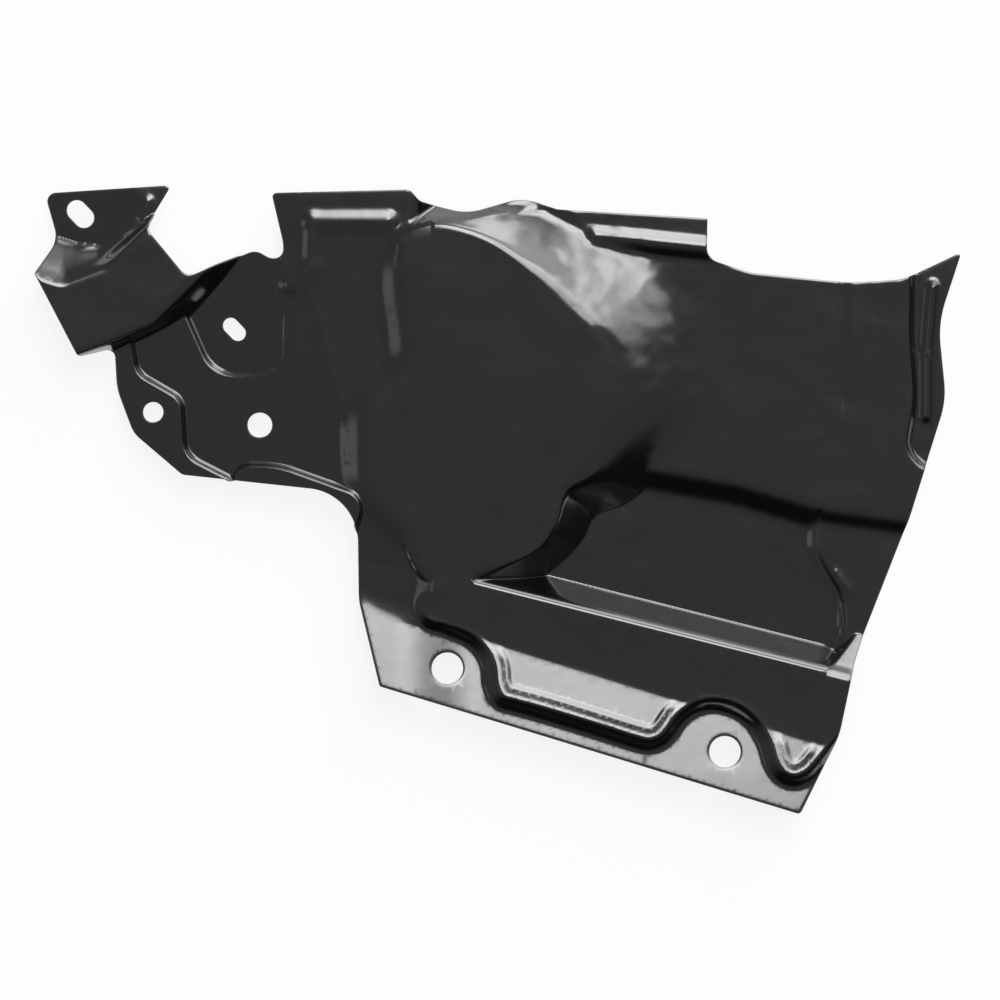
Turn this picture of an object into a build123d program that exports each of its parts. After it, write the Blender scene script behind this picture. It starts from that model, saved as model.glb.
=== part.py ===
# Under engine cover: one steel sheet, pressed in one draw and trimmed.
# The plan lies in X and Y and Z points out of the painted side.
# The sheet is the space between two forms: the outer skin, and the same form set in by one sheet.
import os
from math import cos, hypot, radians, sin, tan

from build123d import *

sheet = 1.2

# Heights of the outer skin over the surface that the cover lies on
pocketLevel = sheet
sillLevel = 3.4
rightLevel = 7.2
middleLevel = 17.2
faceLevel = 20.2
crestLevel = 25.5
tabLevel = 12.5
edgeLevel = 4.4
upperLevel = 9.0

# Heights at which the outlines of the pad, the rim and the band are given, about halfway up their walls,
# and how far the walls are built below and above that
padLevel = 12.6
rimLevel = 12.9
bandLevel = 16.3
wallReach = 4.8

# Slopes from level and leans from upright, in degrees
leftSlope = 5.0
flangeSlope = 10.0
crestSlope = 3.4
tabSlope = 4.6
faceLean = 35.0
rightLean = 58.0
stripSlope = 64.0

# How far the walls of the face are built below and above its level
faceDrop = 8.0
faceRise = 5.5

# Half the slopes of the bulge's and the crest's walls, by which their rings on the sheet's lower side move in
bulgeHalfSlope = 22.0
crestHalfSlope = 25.0

# How far each step stands over its plate, and how deep the pad lies under it
rimStep = 3.2
padDepth = 2.5
padLean = 45.0
edgeLean = 45.0
beadStep = 2.4
beadLean = 60.0
flangeStep = 5.0

# Radius of the bend over the strip, on the painted side
stripBend = 5.0

# The forms reach past the sheet on every side, below it and above it
formFoot = -8.0
formTop = 60.0
formReach = 300.0

# Trimmed outline, clockwise from the upper left corner of the tab: X, Y, corner radius
outline = [
    (-205.0, 138.0, 4.0),
    (-147.5, 141.5, 1.5),
    (-159.0, 122.5, 6.0),
    (-140.5, 100.0, 6.0),
    (-110.0, 112.5, 7.0),
    (-103.5, 108.8, 4.0),
    (-97.3, 108.4, 4.0),
    (-97.6, 116.0, 20.0),
    (-102.8, 138.0, 2.0),
    (-40.5, 139.5, 3.0),
    (-36.0, 134.5, 5.0),
    (-15.0, 129.0, 25.0),
    (10.0, 136.5, 22.0),
    (26.0, 131.0, 8.0),
    (93.6, 127.0, 1.0),
    (93.2, 109.0, 6.0),
    (113.0, 102.5, 30.0),
    (158.0, 98.0, 60.0),
    (182.0, 99.5, 25.0),
    (208.5, 112.0, 1.0),
    (198.0, 80.0, 50.0),
    (201.5, 45.0, 40.0),
    (184.5, -9.0, 120.0),
    (159.0, -74.0, 30.0),
    (152.0, -107.0, 40.0),
    (134.6, -141.0, 2.0),
    (-54.0, -83.5, 1.5),
    (-63.5, -45.0, 30.0),
    (-64.2, 2.8, 24.0),
    (-143.0, 11.3, 5.0),
    (-165.0, 30.0, 14.0),
    (-172.5, 50.0, 30.0),
    (-173.5, 68.0, 3.0),
    (-189.0, 64.0, 2.0),
    (-208.5, 101.5, 1.0),
    (-199.0, 117.0, 12.0),
]

# Bolt holes: X, Y, diameter
boltHoles = {
    "rim": (-156.0, 39.5, 9.0),
    "plate": (-108.0, 33.7, 11.0),
    "flange_left": (-23.6, -75.5, 14.0),
    "flange_right": (101.0, -113.0, 14.0),
}

# Slots: X, Y, width, distance between the end centres
slots = {"tab": (-188.7, 128.6, 9.0, 4.8), "pad": (-119.6, 76.8, 7.0, 4.8)}
slotTurn = -46.0
punchLength = 8.0

# The raised face below and left of the bulge: X, Y, corner radius, at the level of the face.
# It steps down along the flange, round the two flange holes.
faceArea = [
    (-30.0, 113.0, 6.0),
    (-52.0, 113.0, 9.0),
    (-52.0, 92.0, 40.0),
    (-48.0, 66.0, 12.0),
    (-67.5, 44.0, 14.0),
    (-67.5, 2.0, 18.0),
    (-40.0, -28.0, 14.0),
    (-38.0, -54.0, 6.0),
    (-4.0, -66.5, 12.0),
    (-2.0, -92.0, 8.0),
    (70.0, -113.0, 8.0),
    (84.0, -94.0, 11.0),
    (113.0, -94.0, 15.0),
    (119.5, -128.0, 8.0),
    (136.0, -129.0, 8.0),
    (160.0, -100.0, 10.0),
    (230.0, -60.0, 10.0),
    (150.0, 20.0, 10.0),
    (20.0, 30.0, 10.0),
]

# The bulge: its rim at the level of the face, and its foot at the level of the pocket floor: X, Y of each
bulgeLines = [
    ((-46.5, 109.0), (-64.0, 112.0)),
    ((-42.5, 119.0), (-58.0, 137.0)),
    ((-27.0, 123.5), (-31.0, 139.0)),
    ((-5.0, 117.5), (0.0, 141.0)),
    ((16.0, 103.0), (37.0, 134.0)),
    ((33.0, 87.0), (75.0, 113.0)),
    ((46.0, 74.0), (92.0, 84.0)),
    ((54.5, 55.0), (98.5, 60.0)),
    ((54.5, 34.0), (97.0, 34.0)),
    ((44.0, 14.0), (62.0, 1.5)),
    ((29.5, 4.0), (44.0, -6.5)),
    ((25.5, -9.0), (38.0, -17.0)),
    ((17.0, -22.0), (27.5, -28.5)),
    ((0.0, -30.5), (8.0, -42.0)),
    ((-17.0, -37.0), (-14.0, -50.0)),
    ((-35.0, -34.0), (-38.0, -48.0)),
    ((-46.0, 0.0), (-56.0, 0.0)),
    ((-42.0, 60.0), (-52.0, 60.0)),
]
bulgeHeart = (0.0, 45.0)

# The plate right of the bulge, from the step over the pocket to the step along the right edge
rightArea = [
    (-30.0, 30.0, 5.0),
    (70.0, 13.5, 40.0),
    (108.0, 6.8, 80.0),
    (146.0, -4.5, 60.0),
    (230.0, -16.0, 5.0),
    (230.0, 6.0, 5.0),
    (181.0, 16.0, 14.0),
    (186.5, 45.0, 60.0),
    (184.5, 75.0, 60.0),
    (186.0, 200.0, 5.0),
    (-30.0, 200.0, 5.0),
]

# The sunk strip along the right edge, and the plate's raised upper border left of the cut-out
edgeArea = [(165.0, -5.0, 5.0), (230.0, -8.0, 5.0), (230.0, 200.0, 5.0), (165.0, 200.0, 5.0)]
upperArea = [(25.0, 121.0, 1.0), (110.0, 113.0, 1.0), (110.0, 160.0, 1.0), (25.0, 160.0, 1.0)]

# Narrow beads: start, end and width of the top
leftBeads = [
    ((-85.5, 124.7), (-44.0, 124.7), 5.0),
    ((-85.0, 124.7), (-85.0, 104.5), 2.6),
    ((-85.0, 104.5), (-93.0, 97.0), 1.8),
]
edgeBeads = [((191.4, 38.0), (191.6, 66.0), 1.6), ((191.6, 66.0), (194.0, 96.0), 1.6)]
upperBead = ((30.0, 118.2), (110.0, 110.7), 4.0)

# The sill that closes the pocket on the right
sillArea = [
    (144.5, 20.0, 5.0),
    (142.0, -22.0, 12.0),
    (156.0, -44.0, 12.0),
    (155.5, -58.0, 10.0),
    (140.0, -90.0, 5.0),
    (230.0, -90.0, 5.0),
    (230.0, 20.0, 5.0),
]

# The crest of the tab at its own level, and its foot at the level of the tab's flange, corner for corner
crestArea = [
    (-240.0, 112.0, 1.0),
    (-196.0, 97.0, 8.0),
    (-176.5, 104.4, 10.0),
    (-149.0, 131.5, 1.0),
    (-105.0, 131.0, 1.0),
    (-155.0, 79.0, 6.0),
    (-178.0, 68.8, 12.0),
    (-240.0, 46.0, 1.0),
]
crestFoot = [
    (-240.0, 132.0, 1.0),
    (-191.0, 115.5, 8.0),
    (-177.5, 114.0, 10.0),
    (-148.0, 133.0, 1.0),
    (-95.0, 128.0, 1.0),
    (-140.0, 82.5, 7.0),
    (-172.0, 68.0, 12.0),
    (-240.0, 44.5, 1.0),
]

# The flange of the tab, the sunk pad round the slot, the raised rim round the left hole
# and the raised band along the lower edge
tabArea = [
    (-240.0, 105.0, 1.0),
    (-176.0, 105.0, 1.0),
    (-150.0, 116.0, 1.0),
    (-130.0, 160.0, 1.0),
    (-240.0, 160.0, 1.0),
]
padArea = [
    (-144.0, 90.0, 8.0),
    (-129.0, 56.0, 16.0),
    (-97.5, 57.0, 10.0),
    (-96.5, 98.0, 12.0),
    (-103.0, 140.0, 8.0),
    (-160.0, 140.0, 8.0),
]
rimArea = [
    (-240.0, 90.0, 8.0),
    (-168.0, 85.0, 8.0),
    (-163.0, 57.0, 10.0),
    (-143.0, 45.5, 9.0),
    (-141.5, 20.0, 12.0),
    (-118.0, 8.0, 8.0),
    (-118.0, -30.0, 8.0),
    (-240.0, -30.0, 8.0),
]
bandArea = [
    (-124.0, -30.0, 8.0),
    (-119.5, 16.2, 8.0),
    (-99.0, 15.5, 40.0),
    (-60.0, 1.5, 9.0),
    (-70.0, -30.0, 8.0),
]

# The plan of the left plates, up to the bulge, and of the lower flange
leftSpace = [
    (-formReach, -60.0, 0.0),
    (-20.0, -60.0, 0.0),
    (-20.0, 90.0, 0.0),
    (-36.0, 100.0, 0.0),
    (-36.0, 200.0, 0.0),
    (-formReach, 200.0, 0.0),
]
flangeSpace = [
    (-formReach, -formReach, 0.0),
    (formReach, -formReach, 0.0),
    (formReach, -110.0, 0.0),
    (20.0, -60.0, 0.0),
    (-40.0, -30.0, 0.0),
    (-formReach, 20.0, 0.0),
]

# The plan of the space over the pocket, whose left side lies inside the bulge
pocketSpace = [(-22.0, -60.0, 0.0), (formReach, -140.0, 0.0), (formReach, 60.0, 0.0), (-22.0, 60.0, 0.0)]

# Lines in the plan, from left to right: the top of the strip below the pocket, the bend of the lower flange,
# the soft bend between the left and the middle plate, and the left ends of the tab's crest and flange
stripLine = ((-7.0, -36.9), (147.0, -75.6))
flangeLine = ((-57.6, -47.0), (37.4, -76.5))
softLine = ((-68.0, 18.0), (-86.0, 101.0))
crestLine = ((-207.0, 100.0), (-207.0, 0.0))
tabLine = ((-205.0, 0.0), (-205.0, 100.0))


def region(corners):
    """A plan area from its corners, each with its own radius."""
    points = [(x, y) for x, y, _ in corners]
    return make_face(FilletPolyline(*points, radius=[r for _, _, r in corners], close=True))


def planeAlong(line, level, slope):
    """The plane through a plan line at one level, which falls by slope to the left of the line's run."""
    (x1, y1), (x2, y2) = line
    run = hypot(x2 - x1, y2 - y1)
    left = Vector(-(y2 - y1) / run, (x2 - x1) / run, 0)
    return Plane((x1, y1, level), z_dir=left * sin(radians(slope)) + Vector(0, 0, cos(radians(slope))))


def under(plane, inset):
    """All that lies under a plane, set in by inset."""
    size = 4 * formReach
    return plane.offset(-inset) * Box(size, size, size, align=(Align.CENTER, Align.CENTER, Align.MAX))


def column(corners):
    """A plan area raised from the foot of the form with upright sides."""
    return extrude(Pos(0, 0, formFoot) * region(corners), formTop - formFoot)


def grown(corners, distance):
    """The same area with every side moved out by distance and each corner's arc kept concentric."""
    count = len(corners)
    area = sum(corners[i - 1][0] * corners[i][1] - corners[i][0] * corners[i - 1][1] for i in range(count))
    turn = 1 if area > 0 else -1
    moved = []
    for i, (x, y, radius) in enumerate(corners):
        x0, y0, _ = corners[i - 1]
        x2, y2, _ = corners[(i + 1) % count]
        before = Vector(x - x0, y - y0, 0).normalized()
        after = Vector(x2 - x, y2 - y, 0).normalized()
        out = [Vector(side.Y * turn, -side.X * turn, 0) for side in (before, after)]
        shift = (out[0] + out[1]) * (distance / (1 + out[0].dot(out[1])))
        bend = 1 if before.cross(after).Z * turn > 0 else -1
        moved.append((x + shift.X, y + shift.Y, radius + bend * distance))
    return moved


def mesa(corners, level, lean, drop, inset, rise=0.0):
    """A raised area with walls that lean out, drop under its level and rise over it.

    With a negative lean it is the space over a sunk area, whose walls open upwards.
    """
    spread = tan(radians(lean))
    side = 1 if lean > 0 else -1
    rim = grown(corners, -side * inset * tan(radians(90 - abs(lean)) / 2))
    wide = region(grown(rim, drop * spread))
    narrow = region(grown(rim, -rise * spread))
    level -= inset
    wall = loft([Pos(0, 0, level - drop) * wide, Pos(0, 0, level + rise) * narrow], ruled=True)
    return wall + extrude(Pos(0, 0, formFoot) * wide, level - drop - formFoot)


def bead(line, level, inset):
    """A narrow ridge along a plan line, round at both ends."""
    (x1, y1), (x2, y2), width = line
    along = Vector(x2 - x1, y2 - y1, 0).normalized() * (width / 2)
    across = Vector(-along.Y, along.X, 0)
    corners = []
    for x, y, ahead, aside in ((x1, y1, -1, -1), (x2, y2, 1, -1), (x2, y2, 1, 1), (x1, y1, -1, 1)):
        point = (x + ahead * along.X + aside * across.X, y + ahead * along.Y + aside * across.Y)
        corners.append((*point, 0.45 * width))
    return mesa(corners, level, beadLean, 2 * beadStep, inset)


def plates(inset):
    """The pocket floor, the sill that closes it and the plate right of the bulge with its edges."""
    level = pocketLevel - inset
    floor = Pos(0, 0, formFoot) * Box(2 * formReach, 2 * formReach, level - formFoot, align=(
        Align.CENTER, Align.CENTER, Align.MIN))
    sill = mesa(sillArea, sillLevel, rightLean, sillLevel - pocketLevel, inset)
    right = mesa(rightArea, rightLevel, rightLean, rightLevel - pocketLevel, inset)
    right += mesa(edgeArea, edgeLevel, rightLean, edgeLevel - pocketLevel, inset)
    right += mesa(upperArea, upperLevel, rightLean, upperLevel - pocketLevel, inset)
    right += bead(upperBead, upperLevel + beadStep, inset)
    for line in edgeBeads:
        right += bead(line, edgeLevel + beadStep, inset)
    return floor + sill + right


def leftPlates(inset):
    """The middle plate and the left one, which falls away from it, with the sunk pad and the raised edges."""
    fall = planeAlong(softLine, middleLevel, leftSlope)
    level = Plane.XY.offset(middleLevel)
    plate = column(leftSpace) & under(level, inset) & under(fall, inset)
    pad = mesa(padArea, padLevel, -padLean, wallReach, inset, rise=wallReach)
    plate -= pad - under(fall.offset(-padDepth), inset)
    for corners, around in ((rimArea, rimLevel), (bandArea, bandLevel)):
        edge = mesa(corners, around, edgeLean, wallReach, inset, rise=wallReach)
        plate += edge & under(fall.offset(rimStep), inset) & under(Plane.XY.offset(faceLevel), inset)
    for line in leftBeads:
        plate += bead(line, middleLevel + beadStep, inset) & under(fall.offset(beadStep), inset)
    return plate


def tab(inset):
    """The tab: a crest over the left plate, and a lower flange with a slot."""
    moved = inset * tan(radians(crestHalfSlope))
    top = Pos(0, 0, crestLevel - inset) * region(grown(crestArea, -moved))
    foot = region(grown(crestFoot, -moved))
    crest = loft([Pos(0, 0, tabLevel - inset) * foot, top], ruled=True)
    crest += extrude(Pos(0, 0, formFoot) * foot, tabLevel - inset - formFoot)
    crest &= under(planeAlong(crestLine, crestLevel, crestSlope), inset)
    flange = column(tabArea) & under(planeAlong(tabLine, tabLevel, tabSlope), inset)
    return crest + flange


def lowerFlange(inset):
    """The flange with the two large holes, tilted up to its free edge, one step under the face."""
    return column(flangeSpace) & under(planeAlong(flangeLine, faceLevel - flangeStep, flangeSlope), inset)


def bulge(inset):
    """The bulge over the pulley, a loft from its foot to its rim."""
    heartX, heartY = bulgeHeart
    moved = inset * tan(radians(bulgeHalfSlope))

    def ring(index, level):
        points = []
        for pair in bulgeLines:
            x, y = pair[index]
            keep = 1 - moved / hypot(x - heartX, y - heartY)
            points.append((heartX + (x - heartX) * keep, heartY + (y - heartY) * keep))
        return Pos(0, 0, level - inset) * make_face(Spline(points, periodic=True))

    return loft([ring(1, pocketLevel).face(), ring(0, faceLevel).face()])


def runsAlong(edge, line, level):
    """Whether both ends of an edge lie near a plan line at one level."""
    (x1, y1), (x2, y2) = line
    run = hypot(x2 - x1, y2 - y1)
    near = 2 * sheet
    for spot in (edge @ 0, edge @ 1):
        aside = ((spot.Y - y1) * (x2 - x1) - (spot.X - x1) * (y2 - y1)) / run
        if abs(aside) > near or abs(spot.Z - level) > near:
            return False
    return True


def form(inset):
    """The whole draw, from the outer skin with inset 0 to the inner skin with inset one sheet."""
    face = mesa(faceArea, faceLevel, faceLean, faceDrop, inset, rise=faceRise)
    level = Plane.XY.offset(faceLevel)
    tilt = planeAlong(flangeLine, faceLevel, flangeSlope)
    face = (face & under(level, inset)) + (face & under(tilt, inset))
    face -= column(pocketSpace) - under(planeAlong(stripLine, faceLevel, stripSlope), inset)
    whole = plates(inset) + leftPlates(inset) + lowerFlange(inset) + face + bulge(inset) + tab(inset)
    overStrip = max((e for e in whole.edges() if runsAlong(e, stripLine, faceLevel)), key=lambda e: e.length)
    return fillet([overStrip], stripBend - inset)


def pierced(plane, x, y, tool):
    """A punch set square to a plane over a plan point."""
    normal = plane.z_dir
    from_origin = Vector(x, y, 0) - plane.origin
    height = -(normal.X * from_origin.X + normal.Y * from_origin.Y) / normal.Z + plane.origin.Z
    return Plane((x, y, height), x_dir=(1, 0, 0), z_dir=normal) * tool


def pressedCover():
    """The sheet between the two skins, trimmed and pierced, standing at the middle of its own box."""
    blank = extrude(Pos(0, 0, formFoot) * region(outline), formReach)
    cover = (form(0.0) - form(sheet)) & blank
    left = planeAlong(softLine, middleLevel, leftSlope)
    flange = planeAlong(flangeLine, faceLevel - flangeStep, flangeSlope)
    seats = {"rim": left.offset(rimStep), "plate": left, "flange_left": flange, "flange_right": flange,
             "tab": planeAlong(tabLine, tabLevel, tabSlope), "pad": left.offset(-padDepth)}
    for name, (x, y, diameter) in boltHoles.items():
        cover -= pierced(seats[name], x, y, Cylinder(diameter / 2, punchLength))
    for name, (x, y, width, apart) in slots.items():
        stadium = Rot(0, 0, slotTurn) * SlotCenterToCenter(apart, width)
        cover -= pierced(seats[name], x, y, extrude(stadium, punchLength / 2, both=True))
    box = cover.bounding_box()
    return Pos(-box.center().X, -box.center().Y, -box.min.Z) * cover


os.makedirs("parts", exist_ok=True)
cover = pressedCover()
export_step(cover, "parts/pressed_cover.step")
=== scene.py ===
# Under engine cover: one pressed steel sheet in gloss black paint, lying on a pale floor.
# The sheet's form is worked out in millimetres as a height over the plan, and goes into the mesh in metres.
from math import atan2, cos, hypot, pi, radians, sin, tan

import bpy
import numpy as np
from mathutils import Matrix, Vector
from mathutils.geometry import delaunay_2d_cdt


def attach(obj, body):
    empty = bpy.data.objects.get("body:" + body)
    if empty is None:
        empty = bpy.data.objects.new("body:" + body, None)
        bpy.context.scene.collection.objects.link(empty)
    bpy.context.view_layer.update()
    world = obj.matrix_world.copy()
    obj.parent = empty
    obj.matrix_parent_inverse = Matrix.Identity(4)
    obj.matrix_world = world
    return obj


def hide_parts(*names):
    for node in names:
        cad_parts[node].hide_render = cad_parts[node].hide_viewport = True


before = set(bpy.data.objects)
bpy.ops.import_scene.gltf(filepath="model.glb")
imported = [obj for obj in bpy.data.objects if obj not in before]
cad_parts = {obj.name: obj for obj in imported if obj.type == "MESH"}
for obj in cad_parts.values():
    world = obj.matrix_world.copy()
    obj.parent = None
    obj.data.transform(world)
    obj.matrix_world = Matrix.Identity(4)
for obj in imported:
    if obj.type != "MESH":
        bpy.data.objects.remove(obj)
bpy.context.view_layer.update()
print("frame loaded")

mm = 0.001

plan = {
    "shift": (0.263, -0.365),   # from the drawing's origin to the middle of the CAD box
    "gridStep": 0.5,
    "halfSpan": (228.0, 158.0),
    "arcStep": 1.2,
    "trimArcStep": 0.7,
    "blur": 0.3,
}

levels = {   # heights over the floor, and the heights of steps
    "sheet": 1.2, "pocket": 1.2, "sill": 3.4, "right": 7.2, "middle": 17.2, "face": 20.2,
    "crest": 25.5, "tab": 12.5, "flangeStep": 5.0, "rimStep": 3.2, "padDepth": 2.5,
    "edge": 4.4, "upper": 9.0, "beadStep": 2.4, "lowBead": 1.2, "tabFoot": 10.5, "flangeRise": 2.0,
    "nowhere": -8.0,   # under everything, where a surface has no part
}

leans = {"plate": 58.0, "rightEdge": 40.0, "pad": 30.0, "raised": 26.0}   # of the walls, from upright

blends = {   # how far in height two surfaces run into each other
    "sill": 0.8, "plate": 1.0, "rightEdge": 0.6, "edge": 0.5, "upper": 0.6,
    "beadSides": 1.0, "beadTop": 0.9, "edgeBead": 0.8, "lowBead": 1.0,
    "soft": 0.8, "padFoot": 0.6, "padTop": 0.15, "raisedTop": 0.15, "underFace": 0.4, "raisedFoot": 0.6,
    "leftBead": 0.6, "leftEnd": 1.4, "flange": 0.5, "plateTilt": 0.12, "strip": 0.3, "dome": 0.5, "tab": 1.6,
    "lip": 0.3,
}

fades = {   # where a change sets in, and over how far, along X or Y
    "edgeBlend": (20.0, -15.0), "flangeRise": (-8.0, -40.0), "lowerFlange": (-41.0, -8.0),
    "softRimX": (26.0, 20.0), "softRimY": (78.0, -24.0),
}

steps = {   # the step round the face: its slope, the more along the lower flange, and how it runs out
    "slope": 0.58, "lowSlope": 0.46, "settleFrom": 12.0, "settleRun": 6.0, "leastBlend": 0.01,
}

bends = {   # how round the upper and the lower bend of that step are, with what each part of it adds
    "top": 0.8, "topStrip": 1.4, "topRight": 2.6, "topLeft": 0.8,
    "foot": 1.4, "footStrip": 0.9, "footLow": -0.4, "stripReach": 7.0,
}

trim = {   # corners with radii, holes with diameters, and slots with their width and their arcs' distance
    "outline": [
        (-205.0, 138.0, 4.0), (-147.5, 141.5, 1.5), (-159.0, 122.5, 6.0), (-140.5, 100.0, 6.0),
        (-110.0, 112.5, 7.0), (-103.5, 108.8, 4.0), (-97.3, 108.4, 4.0), (-97.6, 116.0, 20.0),
        (-102.8, 138.0, 2.0), (-40.5, 139.5, 3.0), (-36.0, 134.5, 5.0), (-15.0, 129.0, 25.0),
        (10.0, 136.5, 22.0), (26.0, 131.0, 8.0), (93.6, 127.0, 1.0), (93.2, 109.0, 6.0),
        (113.0, 102.5, 30.0), (158.0, 98.0, 60.0), (182.0, 99.5, 25.0), (208.5, 112.0, 1.0),
        (198.0, 80.0, 50.0), (201.5, 45.0, 40.0), (184.5, -9.0, 120.0), (159.0, -74.0, 30.0),
        (152.0, -107.0, 40.0), (134.6, -141.0, 2.0), (-54.0, -83.5, 1.5), (-63.5, -45.0, 30.0),
        (-64.2, 2.8, 24.0), (-143.0, 11.3, 5.0), (-165.0, 30.0, 14.0), (-172.5, 50.0, 30.0),
        (-173.5, 68.0, 3.0), (-189.0, 64.0, 2.0), (-208.5, 101.5, 1.0), (-199.0, 117.0, 12.0),
    ],
    "boltHoles": [(-156.0, 39.5, 9.0), (-108.0, 33.7, 11.0), (-23.6, -75.5, 14.0), (101.0, -113.0, 14.0)],
    "slots": [(-188.7, 128.6, 9.0, 4.8), (-119.6, 76.8, 7.0, 4.8)],
    "slotTurn": -46.0,
}

areas = {   # what is raised or sunk, as corners with their radii
    "right": [
        (-30.0, 30.0, 5.0), (70.0, 13.5, 40.0), (108.0, 6.8, 80.0), (146.0, -4.5, 60.0),
        (230.0, -16.0, 5.0), (230.0, 6.0, 5.0), (181.0, 16.0, 14.0), (186.5, 45.0, 60.0),
        (184.5, 75.0, 60.0), (186.0, 200.0, 5.0), (-30.0, 200.0, 5.0),
    ],
    "edge": [(165.0, 8.0, 5.0), (230.0, 5.0, 5.0), (230.0, 200.0, 5.0), (165.0, 200.0, 5.0)],
    "upper": [(41.0, 119.5, 1.0), (110.0, 113.0, 1.0), (110.0, 160.0, 1.0), (-11.5, 160.0, 1.0)],
    "sill": [
        (144.5, 20.0, 5.0), (142.0, -22.0, 12.0), (156.0, -44.0, 12.0), (155.5, -58.0, 10.0),
        (140.0, -90.0, 5.0), (230.0, -90.0, 5.0), (230.0, 20.0, 5.0),
    ],
    "left": [
        (-300.0, -60.0, 0.5), (-20.0, -60.0, 0.5), (-20.0, 90.0, 0.5), (-35.0, 100.0, 8.0),
        (-35.0, 200.0, 0.5), (-300.0, 200.0, 0.5),
    ],
    "crest": [
        (-240.0, 112.0, 1.0), (-196.0, 97.0, 8.0), (-176.5, 104.4, 10.0), (-149.0, 131.5, 1.0),
        (-105.0, 131.0, 1.0), (-155.0, 79.0, 6.0), (-178.0, 68.8, 12.0), (-240.0, 46.0, 1.0),
    ],
    "crestFoot": [
        (-240.0, 132.0, 1.0), (-191.0, 115.5, 8.0), (-177.5, 114.0, 10.0), (-148.0, 133.0, 1.0),
        (-95.0, 128.0, 1.0), (-140.0, 82.5, 7.0), (-172.0, 68.0, 12.0), (-240.0, 44.5, 1.0),
    ],
    "tab": [
        (-240.0, 105.0, 1.0), (-176.0, 105.0, 1.0), (-150.0, 116.0, 1.0), (-130.0, 160.0, 1.0),
        (-240.0, 160.0, 1.0),
    ],
    "pad": [
        (-150.2, 104.0, 4.0), (-129.0, 56.0, 16.0), (-97.5, 57.0, 10.0), (-96.5, 98.0, 12.0),
        (-103.0, 140.0, 8.0), (-160.0, 140.0, 8.0),
    ],
    "rim": [
        (-240.0, 90.0, 8.0), (-168.0, 85.0, 8.0), (-163.0, 57.0, 10.0), (-143.0, 45.5, 9.0),
        (-141.5, 20.0, 12.0), (-118.0, 8.0, 8.0), (-118.0, -30.0, 8.0), (-240.0, -30.0, 8.0),
    ],
    "band": [
        (-124.0, -30.0, 8.0), (-119.5, 16.2, 8.0), (-99.0, 15.5, 40.0), (-60.0, 1.5, 9.0),
        (-70.0, -30.0, 8.0),
    ],
    "flange": [
        (-300.0, -300.0, 0.5), (300.0, -300.0, 0.5), (300.0, -110.0, 0.5), (20.0, -60.0, 0.5),
        (-40.0, -30.0, 0.5), (-300.0, 20.0, 0.5),
    ],
    "pocketSpace": [(-22.0, -60.0, 0.5), (300.0, -140.0, 0.5), (300.0, 60.0, 0.5), (-22.0, 60.0, 0.5)],
}

bulge = {   # closed curves through these points, and the runs by which the flank goes on past them
    "footRun": 40.0, "rimRun": 30.0,
    "rim": [
        (-46.5, 109.0), (-42.5, 119.0), (-27.0, 123.5), (-5.0, 117.5), (16.0, 103.0), (33.0, 87.0),
        (46.0, 74.0), (54.5, 55.0), (54.5, 34.0), (44.0, 14.0), (29.5, 4.0), (25.5, -9.0),
        (17.0, -22.0), (0.0, -30.5), (-17.0, -37.0), (-35.0, -34.0), (-46.0, 0.0), (-42.0, 60.0),
    ],
    "foot": [
        (-64.0, 112.0), (-58.0, 137.0), (-31.0, 139.0), (0.0, 141.0), (43.0, 138.0), (82.0, 117.0),
        (98.0, 87.0), (98.5, 60.0), (97.0, 34.0), (62.0, 1.5), (44.0, -6.5), (38.0, -17.0),
        (27.5, -28.5), (8.0, -42.0), (-14.0, -50.0), (-38.0, -48.0), (-56.0, 0.0), (-52.0, 60.0),
    ],
}

faceEdge = [   # the step round the face, clockwise, at half its height
    (-20.0, 60.0), (-36.0, 112.0), (-47.0, 115.0), (-51.0, 107.0), (-51.6, 94.5), (-49.4, 78.0),
    (-48.6, 67.5), (-51.0, 59.5), (-58.0, 52.6), (-64.6, 45.4), (-67.8, 36.0), (-68.6, 22.5),
    (-67.6, 8.0), (-63.0, -1.0), (-54.8, -9.4), (-45.4, -18.8), (-38.3, -26.0), (-35.6, -33.0),
    (-36.6, -42.0), (-37.2, -50.0), (-33.5, -56.0), (-24.5, -58.6), (-15.0, -62.0), (-9.0, -67.0),
    (-5.2, -74.0), (-4.0, -83.0), (-0.5, -90.0), (7.0, -92.6), (18.0, -95.6), (42.4, -103.0),
    (60.0, -108.6), (67.0, -110.0), (72.9, -108.0), (76.5, -104.5), (81.0, -98.4), (87.5, -93.6),
    (96.2, -91.8), (105.9, -94.2), (114.0, -100.6), (119.0, -109.5), (121.6, -118.0), (125.5, -123.8),
    (131.6, -126.2), (138.0, -124.2), (143.0, -119.6), (152.0, -109.0), (170.0, -92.0), (240.0, -60.0),
    (240.0, 0.0), (150.0, 20.0), (20.0, 30.0),
]

beads = {   # narrow ridges: start, end, width of the top, lean of the sides from upright
    "left": [
        ((-84.5, 125.2), (-50.5, 125.2), 4.0, 56.0), ((-84.5, 125.2), (-85.0, 104.5), 2.2, 56.0),
        ((-85.0, 104.5), (-93.0, 97.0), 1.6, 60.0),
    ],
    "edge": [((192.6, 38.0), (192.8, 66.0), 0.8, 50.0), ((192.8, 66.0), (195.2, 96.0), 0.8, 50.0)],
    "upper": [((43.0, 119.0), (110.0, 112.1), 3.2, 56.0)],
}

lines = {   # straight lines: start, end, and the fall to the left of the run in degrees
    "strip": ((-7.0, -36.9), (147.0, -75.6), 64.0),
    "flange": ((-57.6, -47.0), (37.4, -76.5), 10.0),
    "soft": ((-68.0, 18.0), (-86.0, 101.0), 5.0),
    "lip": ((-158.0, 122.0), (-164.5, 140.0), 4.0),
}

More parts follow.
